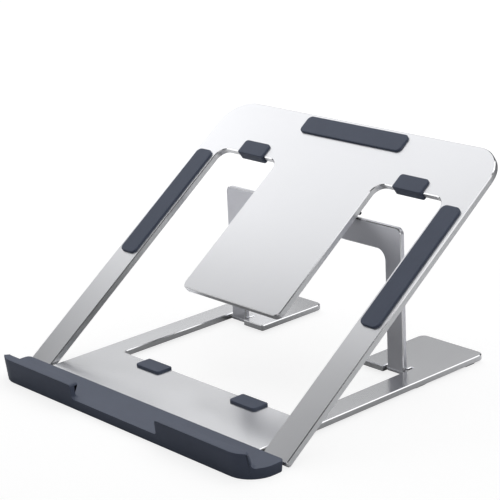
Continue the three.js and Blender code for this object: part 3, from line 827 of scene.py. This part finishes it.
class STAND_OT_stop_bar(bpy.types.Operator):
    """Moulds the stop bar: a floor with a lipped wall that is open in the middle"""

    bl_idname = "stand.stop_bar"
    bl_label = "Front stop bar"

    def execute(self, context):
        self.corner = context.scene.stand_sizes.bar_corner
        self.half = TRAY_HIGH.x
        self.floor = BAR_FLOOR
        self.top = BAR_HIGH.z
        self.front = BAR_LOW.y + (self.top - self.floor) * BAR_DRAFT
        self.rear = BAR_HIGH.y
        self.centre = Vector((self.half - self.corner, self.front + self.corner, 0))
        bar = self.body()
        for cutter in (self.outer_end(), self.lip_end()):
            bar = cut(bar, cutter, reflected(cutter))
        bar = cut(
            bar, self.opening(), self.channel(), self.rear_room(), self.flange_pocket(),
            self.finger_gap())
        for number in SCREW_NUMBERS:
            low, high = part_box(f"bar_screw_{number}")
            bar = cut(bar, self.screw_hole((low + high) / 2))
        obj = add_piece(
            "stop_bar", bar, ("bar silicone",), "base", ["front_stop_bar"],
            weighted=False)
        bevel = obj.modifiers.new("Soft edges", "BEVEL")
        bevel.width = context.scene.stand_sizes.bar_round
        bevel.segments = 2
        bevel.limit_method = "ANGLE"
        bevel.angle_limit = BAR_SHARP
        bevel.use_clamp_overlap = False
        bevel.harden_normals = True
        weld = obj.modifiers.new("Joined points", "WELD")
        weld.merge_threshold = WELD_DISTANCE
        return {"FINISHED"}

    def body(self):
        """The bar at its full height, whose sides lean out towards the top."""
        bm = bmesh.new()
        outline(bm, mirrored([
            [self.half, self.front, self.corner],
            [self.half, self.rear, BAR_REAR_CORNER],
        ]))
        raise_face(bm, BAR_LOW.z, self.top)
        middle = (self.front + self.rear) / 2
        for height in (BAR_LOW.z, self.top):
            lean = (height - self.floor) * BAR_DRAFT
            level = [vert for vert in bm.verts if abs(vert.co.z - height) < WELD_DISTANCE]
            bmesh.ops.scale(
                bm, vec=(1 + lean / self.half, 1 + lean / (self.rear - middle), 1), verts=level,
                space=Matrix.Translation((0, -middle, 0)))
        round_edges(bm, level_edges(bm, BAR_LOW.z, self.top), BAR_RIM, steps=3)
        return bm

    def channel(self):
        """What is cut out behind the wall, under its lip and round both front corners."""
        inside, under = self.front + WALL_THICKNESS, self.top - LIP_THICKNESS
        points = [
            *arc(
                inside + WALL_FILLET, self.floor + WALL_FILLET, WALL_FILLET, 270, 180,
                FILLET_STEPS),
            (inside, under),
            (self.centre.y, under),
            (self.centre.y, self.floor),
        ]
        turn_x = self.centre.x
        bm = pulled(points, lambda y, z: (-turn_x, y, z), (2 * turn_x, 0, 0))
        for side in (1, -1):
            end = max(bm.faces, key=lambda face: side * face.calc_center_median().x)
            bmesh.ops.spin(
                bm, geom=[end, *end.edges, *end.verts], cent=(side * turn_x, self.centre.y, 0),
                axis=(0, 0, 1), angle=side * CHANNEL_TURN, steps=CHANNEL_STEPS)
        bmesh.ops.remove_doubles(bm, verts=bm.verts, dist=SAME_PLACE)
        bmesh.ops.recalc_face_normals(bm, faces=bm.faces)
        return bm

    def opening(self):
        """What is cut out above the straight part of the channel, up to the lip's edge."""
        half = self.centre.x - OPENING_SHORT
        return block(
            (-half, self.front + LIP_REACH, self.top - LIP_THICKNESS - CUT_PAST),
            (half, self.centre.y + CUT_PAST, self.top + CUT_PAST))

    def rear_room(self):
        """What is cut out over the floor, behind the corners."""
        wide = self.half + BAR_CUT_PAST
        return block(
            (-wide, self.centre.y - CUT_PAST, self.floor),
            (wide, self.rear + BAR_CUT_PAST, self.top + CUT_PAST))

    def flange_pocket(self):
        """What is cut out inside the floor for the base plate's flange."""
        side = BASE_HIGH.x + SEAT_GAP
        return block(
            (-side, BASE_LOW.y - SEAT_GAP, POCKET_LOW),
            (side, self.rear + BAR_CUT_PAST, POCKET_HIGH))

    def lip_end(self):
        """What ends the straight lip inside the right front corner."""
        low, high = self.top - LIP_THICKNESS - CUT_PAST, self.top + CUT_PAST
        bm = cylinder(self.corner - WALL_THICKNESS, high - low, LIP_END_SEGMENTS)
        bmesh.ops.translate(
            bm, verts=bm.verts, vec=self.centre + Vector((0, 0, (low + high) / 2)))
        edge = Vector((0, self.front + LIP_REACH, 0))
        halved = bmesh.ops.bisect_plane(
            bm, geom=bm.verts[:] + bm.edges[:] + bm.faces[:], plane_co=edge, plane_no=(0, 1, 0),
            clear_inner=True)
        rim = [item for item in halved["geom_cut"] if isinstance(item, bmesh.types.BMEdge)]
        bmesh.ops.holes_fill(bm, edges=rim)
        bmesh.ops.recalc_face_normals(bm, faces=bm.faces)
        return bm

    def end_profile(self, slant, fillet):
        """One end of the wall, seen along it: a rounded top, then down to a floor fillet."""
        rounding = WALL_END_ROUND
        points = [(-rounding, self.top + CUT_PAST)]
        points += arc(-rounding, self.top - rounding, rounding, 90, 0, END_ROUND_STEPS)
        centre = slant + fillet
        return points + arc(centre, self.floor + fillet, fillet, 180, 270, FILLET_STEPS)

    def outer_end(self):
        """What is cut away beyond the right outer end of the wall."""
        points = self.end_profile(**WALL_END)
        far = self.corner * WALL_CUT_WIDTH
        points += [(far, self.floor), (far, self.top + CUT_PAST)]
        bm = pulled(points, lambda x, z: (x, 0, z), (0, -self.corner - WALL_CUT_PAST, 0))
        turn = Matrix.Rotation(WALL_END_TURN, 4, "Z")
        return moved(bm, Matrix.Translation(self.centre) @ turn)

    def finger_gap(self):
        """What is cut out of the middle of the wall."""
        right = [(GAP_HALF - x, z) for x, z in self.end_profile(**GAP_END)]
        left = [(-x, z) for x, z in reversed(right)]
        return pulled(
            right + left, lambda x, z: (x, self.front - GAP_CUT_PAST, z), (0, GAP_CUT_DEPTH, 0))

    def screw_hole(self, centre):
        """The hole in the bar's underside for one screw's head."""
        bm = cylinder(SCREW_HEAD + SEAT_GAP, SCREW_CUT_LENGTH)
        bmesh.ops.translate(bm, verts=bm.verts, vec=(centre.x, centre.y, 0))
        return bm


def flat_pad(shape, centre, bottom, top, radius):
    """A flat pad with rounded corners and a soft rim."""
    bm = bmesh.new()
    half_width, half_depth = shape["width"] / 2, shape["depth"] / 2
    outline(bm, [
        [centre[0] + right * half_width, centre[1] + back * half_depth, shape["corner"]]
        for right, back in ((1, -1), (1, 1), (-1, 1), (-1, -1))
    ])
    raise_face(bm, bottom, top)
    round_edges(bm, level_edges(bm, top), radius)
    return bm


class STAND_OT_pads(bpy.types.Operator):
    """Lays the soft pads on the tray"""

    bl_idname = "stand.pads"
    bl_label = "Tray pads"

    def execute(self, context):
        radius = context.scene.stand_sizes.pad_round
        low, high = TRAY_TOP - SUNK, TRAY_TOP + PAD_PROUD
        y = TRAY_LENGTH - TOP_PAD["from_rear"] - TOP_PAD["depth"] / 2
        bm = flat_pad(TOP_PAD, (0, y), low, high, radius)
        add_piece(
            "top_rest", moved(bm, tray_matrix()), ("pad silicone",), "tray", ["top_pad"])
        y = TRAY_LENGTH - ARM_PAD["from_rear"] - ARM_PAD["depth"] / 2
        x = TRAY_HIGH.x - ARM_PAD_FROM_SIDE - ARM_PAD["width"] / 2
        for label, side in SIDES.items():
            bm = flat_pad(ARM_PAD, (side * x, y), low, high, radius)
            add_piece(
                f"arm_rest_{label}", moved(bm, tray_matrix()), ("pad silicone",), "tray",
                [f"arm_pad_{label}"])
        return {"FINISHED"}


def edge_clip(width, reach, bottom, top, radius):
    """A clip over a plate's front edge at y = 0: a face, a wall and a short return under it."""
    low = bottom - SEAT_GAP - CLIP_RETURN_THICKNESS
    front = -SEAT_GAP - CLIP_WALL
    half = width / 2
    bm = bmesh.new()
    outline(bm, mirrored([[half, front, CLIP_WALL_CORNER], [half, reach, CLIP_CORNER]]))
    raise_face(bm, low, top + PAD_PROUD)
    round_edges(bm, level_edges(bm, low, top + PAD_PROUD), radius)
    wide, far = half + CUT_PAST, reach + CUT_PAST
    seat = block((-wide, -SEAT_GAP, bottom - SEAT_GAP), (wide, far, top - SUNK))
    behind_return = block((-wide, CLIP_RETURN, low - CUT_PAST), (wide, far, top - SUNK))
    return cut(bm, seat, behind_return)


class STAND_OT_clips(bpy.types.Operator):
    """Pushes the soft clips over the edges of the windows and of the base"""

    bl_idname = "stand.clips"
    bl_label = "Edge clips"

    def execute(self, context):
        radius = context.scene.stand_sizes.pad_round
        for label in SIDES:
            low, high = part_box(f"tray_clip_{label}")
            bm = edge_clip(
                high.x - low.x, TRAY_CLIP_REACH, TRAY_TOP - TRAY_THICKNESS, TRAY_TOP, radius)
            place = Matrix.Translation(((low.x + high.x) / 2, WINDOW_REAR, 0))
            add_piece(
                f"tray_edge_clip_{label}", moved(bm, tray_matrix() @ place), ("pad silicone",),
                "tray", [f"tray_clip_{label}"])
            low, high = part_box(f"base_clip_{label}")
            bm = edge_clip(
                high.x - low.x, BASE_CLIP_REACH, BASE_LOW.z, BASE_HIGH.z, radius)
            place = Matrix.Translation(((low.x + high.x) / 2, FRONT_PANEL_REAR, 0))
            turn = Matrix.Rotation(math.pi, 4, "Z")
            add_piece(
                f"base_edge_clip_{label}", moved(bm, place @ turn), ("pad silicone",),
                "base", [f"base_clip_{label}"])
        return {"FINISHED"}


class STAND_OT_feet(bpy.types.Operator):
    """Sticks the foot pads under the base"""

    bl_idname = "stand.feet"
    bl_label = "Foot pads"

    def execute(self, context):
        radius = context.scene.stand_sizes.pad_round
        for place in ("front", "middle", "rear"):
            for label in SIDES:
                node = f"foot_pad_{place}_{label}"
                low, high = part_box(node)
                size, centre = high - low, (low + high) / 2
                shape = {"width": size.x, "depth": size.y, "corner": FOOT_PAD_CORNER}
                # Made rim up, beside its place, and then turned over
                bm = flat_pad(shape, (-centre.x, centre.y), -BASE_LOW.z - SUNK, -low.z, radius)
                moved(bm, Matrix.Rotation(math.pi, 4, "Y"))
                add_piece(
                    f"foot_{place}_{label}", bm, ("foot rubber",), "base", [node])
        return {"FINISHED"}


class STAND_OT_rest_strip(bpy.types.Operator):
    """Moulds the ribbed rubber strip that the arch bears on"""

    bl_idname = "stand.rest_strip"
    bl_label = "Rest strip"

    def execute(self, context):
        into_tray = tray_matrix().inverted() @ arch_matrix()
        front_edge, rear_edge = (
            into_tray @ Vector((0, ARCH_LENGTH, side * ARCH_THICKNESS / 2)) for side in (1, -1))
        front = front_edge.y - STRIP_REACH
        rib_front = rear_edge.y + STRIP_RIB_GAP
        rear = rib_front + STRIP_RIB_WIDTH
        bearing = front_edge.z + SEAT_GAP
        rib = bearing - STRIP_RIB_HEIGHT
        top = TRAY_TOP - TRAY_THICKNESS + SUNK
        bm = bmesh.new()
        outline(bm, [
            [front, bearing, STRIP_ROUND],
            [rib_front, bearing, STRIP_ROUND],
            [rib_front, rib, STRIP_ROUND],
            [rear, rib, STRIP_ROUND],
            [rear, top, 0],
            [front, top, 0],
        ], steps=4)
        half = STRIP_LENGTH / 2
        raise_face(bm, -half, half)
        round_edges(bm, level_edges(bm, -half, half), STRIP_END_ROUND, steps=2)
        across = Matrix(((0, 0, 1, 0), (1, 0, 0, 0), (0, 1, 0, 0), (0, 0, 0, 1)))
        add_piece(
            "rest_strip", moved(bm, tray_matrix() @ across), ("strip rubber",), "tray",
            ["arch_rest_strip"])
        return {"FINISHED"}


# ------------------------------------------------------------------ hinges and screws


def pin(low, high):
    """A plain pin with eased ends that fills its box."""
    length = high.x - low.x
    bm = cylinder((high.z - low.z) / 2, length)
    round_edges(bm, level_edges(bm, -length / 2, length / 2), PIN_EASE, steps=2)
    return along_x(bm, (low + high) / 2)


def ring(low, high, bore):
    """A flat ring with eased edges that fills its box, spun round the X axis."""
    half = (high.x - low.x) / 2
    radius = (high.z - low.z) / 2
    bm = bmesh.new()
    section = [(-half, bore), (half, bore), (half, radius), (-half, radius)]
    face = bm.faces.new([bm.verts.new((x, 0, z)) for x, z in section])
    bmesh.ops.bevel(
        bm, geom=face.verts[:], offset=min(RING_EASE, half / 2), offset_type="OFFSET",
        affect="VERTICES", segments=2, profile=0.5, material=-1)
    geom = bm.verts[:] + bm.edges[:] + bm.faces[:]
    bmesh.ops.spin(
        bm, geom=geom, cent=(0, 0, 0), axis=(1, 0, 0), angle=math.tau, steps=PIN_SEGMENTS,
        use_merge=True)
    bmesh.ops.remove_doubles(bm, verts=bm.verts, dist=SAME_PLACE)
    sections = [face for face in bm.faces if len(face.verts) > 4]
    bmesh.ops.delete(bm, geom=sections, context="FACES_ONLY")
    bmesh.ops.recalc_face_normals(bm, faces=bm.faces)
    return moved(bm, Matrix.Translation((low + high) / 2))


class STAND_OT_hinges(bpy.types.Operator):
    """Turns the hinge pins, washers and spacers"""

    bl_idname = "stand.hinges"
    bl_label = "Hinges"

    def execute(self, context):
        for label in SIDES:
            for name in ("tray_pivot_pin", "arch_hinge_pin"):
                low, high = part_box(f"{name}_{label}")
                add_piece(
                    f"{name}_turned_{label}", pin(low, high), ("pin steel",), "base",
                    [f"{name}_{label}"])
            for name, finish, slot in (
                ("hinge_washer_inner", "washer steel", "washer_steel"),
                ("hinge_washer_outer", "washer steel", "washer_steel"),
                ("tray_pivot_spacer", "spacer polymer", "spacer_polymer"),
            ):
                low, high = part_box(f"{name}_{label}")
                add_piece(
                    f"{name}_turned_{label}", ring(low, high, RING_BORE), (finish,), "base",
                    [f"{name}_{label}"])
        return {"FINISHED"}


class STAND_OT_screws(bpy.types.Operator):
    """Turns the countersunk screws under the stop bar"""

    bl_idname = "stand.screws"
    bl_label = "Bar screws"

    def execute(self, context):
        for number in SCREW_NUMBERS:
            node = f"bar_screw_{number}"
            low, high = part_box(node)
            add_piece(
                f"bar_fixing_{number}", self.screw(low, high), ("pin steel",), "base", [node])
        return {"FINISHED"}

    def screw(self, low, high):
        """A screw that stands on its countersunk head, which has a cross slot."""
        centre = (low + high) / 2
        bm = cylinder(SCREW_HEAD, SCREW_CONE, top_radius=SCREW_SHANK)
        bmesh.ops.translate(bm, verts=bm.verts, vec=(0, 0, SCREW_CONE / 2))
        top = [face for face in bm.faces if face.normal.z > FACING]
        pull_out(bm, top, (0, 0, high.z - low.z - SCREW_CONE))
        round_edges(bm, level_edges(bm, 0), SCREW_EASE, steps=2)
        for turn in (0, math.pi / 2):
            slot = block(
                (-SLOT_HALF_LENGTH, -SLOT_HALF_WIDTH, -CUT_PAST),
                (SLOT_HALF_LENGTH, SLOT_HALF_WIDTH, SLOT_DEPTH))
            bmesh.ops.rotate(slot, verts=slot.verts, matrix=Matrix.Rotation(turn, 3, "Z"))
            bm = cut(bm, slot)
        return moved(bm, Matrix.Translation((centre.x, centre.y, low.z)))


# ------------------------------------------------------------------ panel and registration

PIECE_OPERATORS = (
    STAND_OT_stage,
    STAND_OT_base_plate,
    STAND_OT_tray_plate,
    STAND_OT_arch,
    STAND_OT_stop_bar,
    STAND_OT_pads,
    STAND_OT_clips,
    STAND_OT_feet,
    STAND_OT_rest_strip,
    STAND_OT_hinges,
    STAND_OT_screws,
)


class STAND_PT_panel(bpy.types.Panel):
    """Lists the stand's sizes, colours and pieces"""

    bl_label = "Laptop Stand"
    bl_idname = "STAND_PT_panel"
    bl_space_type = "VIEW_3D"
    bl_region_type = "UI"
    bl_category = "Laptop Stand"

    def draw(self, context):
        layout = self.layout
        for group in (context.scene.stand_sizes, context.scene.stand_colours):
            box = layout.box()
            for name in group.bl_rna.properties.keys():
                if name not in ("rna_type", "name"):
                    box.prop(group, name)
        for operator in PIECE_OPERATORS:
            layout.operator(operator.bl_idname)


CLASSES = (StandSizes, StandColours, *PIECE_OPERATORS, STAND_PT_panel)


def register():
    for cls in CLASSES:
        bpy.utils.register_class(cls)
    bpy.types.Scene.stand_sizes = PointerProperty(type=StandSizes)
    bpy.types.Scene.stand_colours = PointerProperty(type=StandColours)


def unregister():
    del bpy.types.Scene.stand_colours
    del bpy.types.Scene.stand_sizes
    for cls in reversed(CLASSES):
        bpy.utils.unregister_class(cls)


def main():
    """Builds the whole scene through its operators."""
    register()
    for operator in PIECE_OPERATORS:
        category, name = operator.bl_idname.split(".")
        getattr(getattr(bpy.ops, category), name)()
    bpy.context.view_layer.update()


if __name__ == "__main__":
    main()
